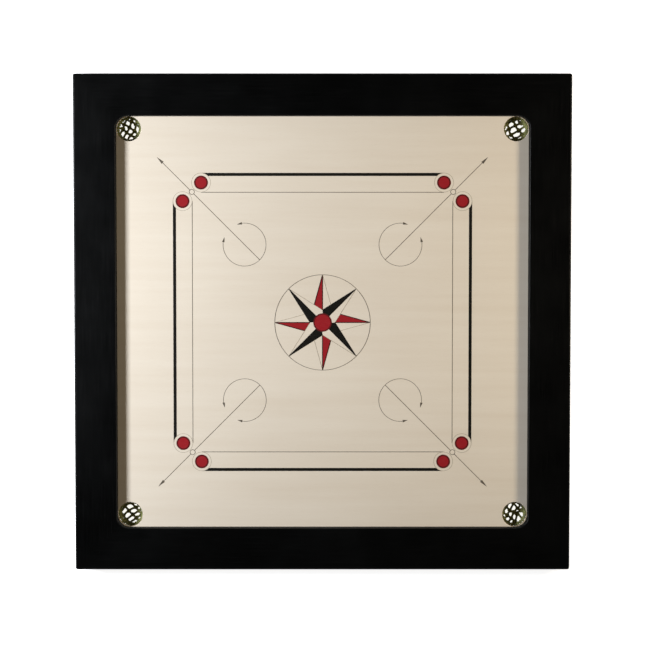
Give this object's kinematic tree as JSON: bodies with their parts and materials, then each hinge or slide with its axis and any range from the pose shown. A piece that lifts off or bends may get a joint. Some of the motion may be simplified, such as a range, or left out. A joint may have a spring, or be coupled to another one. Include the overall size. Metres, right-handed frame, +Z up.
{
  "type": "carrom board",
  "caption": "Square tabletop flicking game board: a black wooden frame round a pale plywood surface with printed lines and a netted pocket in each corner.",
  "frame": {"origin": "centre of the plane that the frame stands on", "axes": "+Z up out of the playing surface; +Y away from the player on the south side; +X to that player's right"},
  "size_m": [0.89, 0.89, 0.05],
  "materials": {
    "black_lacquer": "satin black lacquer",
    "playing_ply": "satin clear lacquer",
    "plain_hardwood": "planed, unfinished",
    "spline_ply": "sawn",
    "wire": "bright drawn wire",
    "zinc_screw": "zinc plated",
    "net_cord": "dark green twisted cord"
  },
  "bodies": {
    "root": {"playing_surface": "playing_ply", "rail_south": "black_lacquer", "ledger_south_right": "plain_hardwood", "ledger_south_left": "plain_hardwood", "rail_east": "black_lacquer", "ledger_east_right": "plain_hardwood", "ledger_east_left": "plain_hardwood", "rail_north": "black_lacquer", "ledger_north_right": "plain_hardwood", "ledger_north_left": "plain_hardwood", "rail_west": "black_lacquer", "ledger_west_right": "plain_hardwood", "ledger_west_left": "plain_hardwood", "corner_block_se": "black_lacquer", "mitre_spline_se": "spline_ply", "net_ring_se": "wire", "net_staples_se": "wire", "pocket_net_se": "net_cord", "corner_block_ne": "black_lacquer", "mitre_spline_ne": "spline_ply", "net_ring_ne": "wire", "net_staples_ne": "wire", "pocket_net_ne": "net_cord", "corner_block_nw": "black_lacquer", "mitre_spline_nw": "spline_ply", "net_ring_nw": "wire", "net_staples_nw": "wire", "pocket_net_nw": "net_cord", "corner_block_sw": "black_lacquer", "mitre_spline_sw": "spline_ply", "net_ring_sw": "wire", "net_staples_sw": "wire", "pocket_net_sw": "net_cord", "batten_north_south": "plain_hardwood", "batten_east_west": "plain_hardwood", "batten_screws": "zinc_screw", "batten_end_screws": "zinc_screw", "ledger_screws": "zinc_screw"}
  },
  "joints": []
}
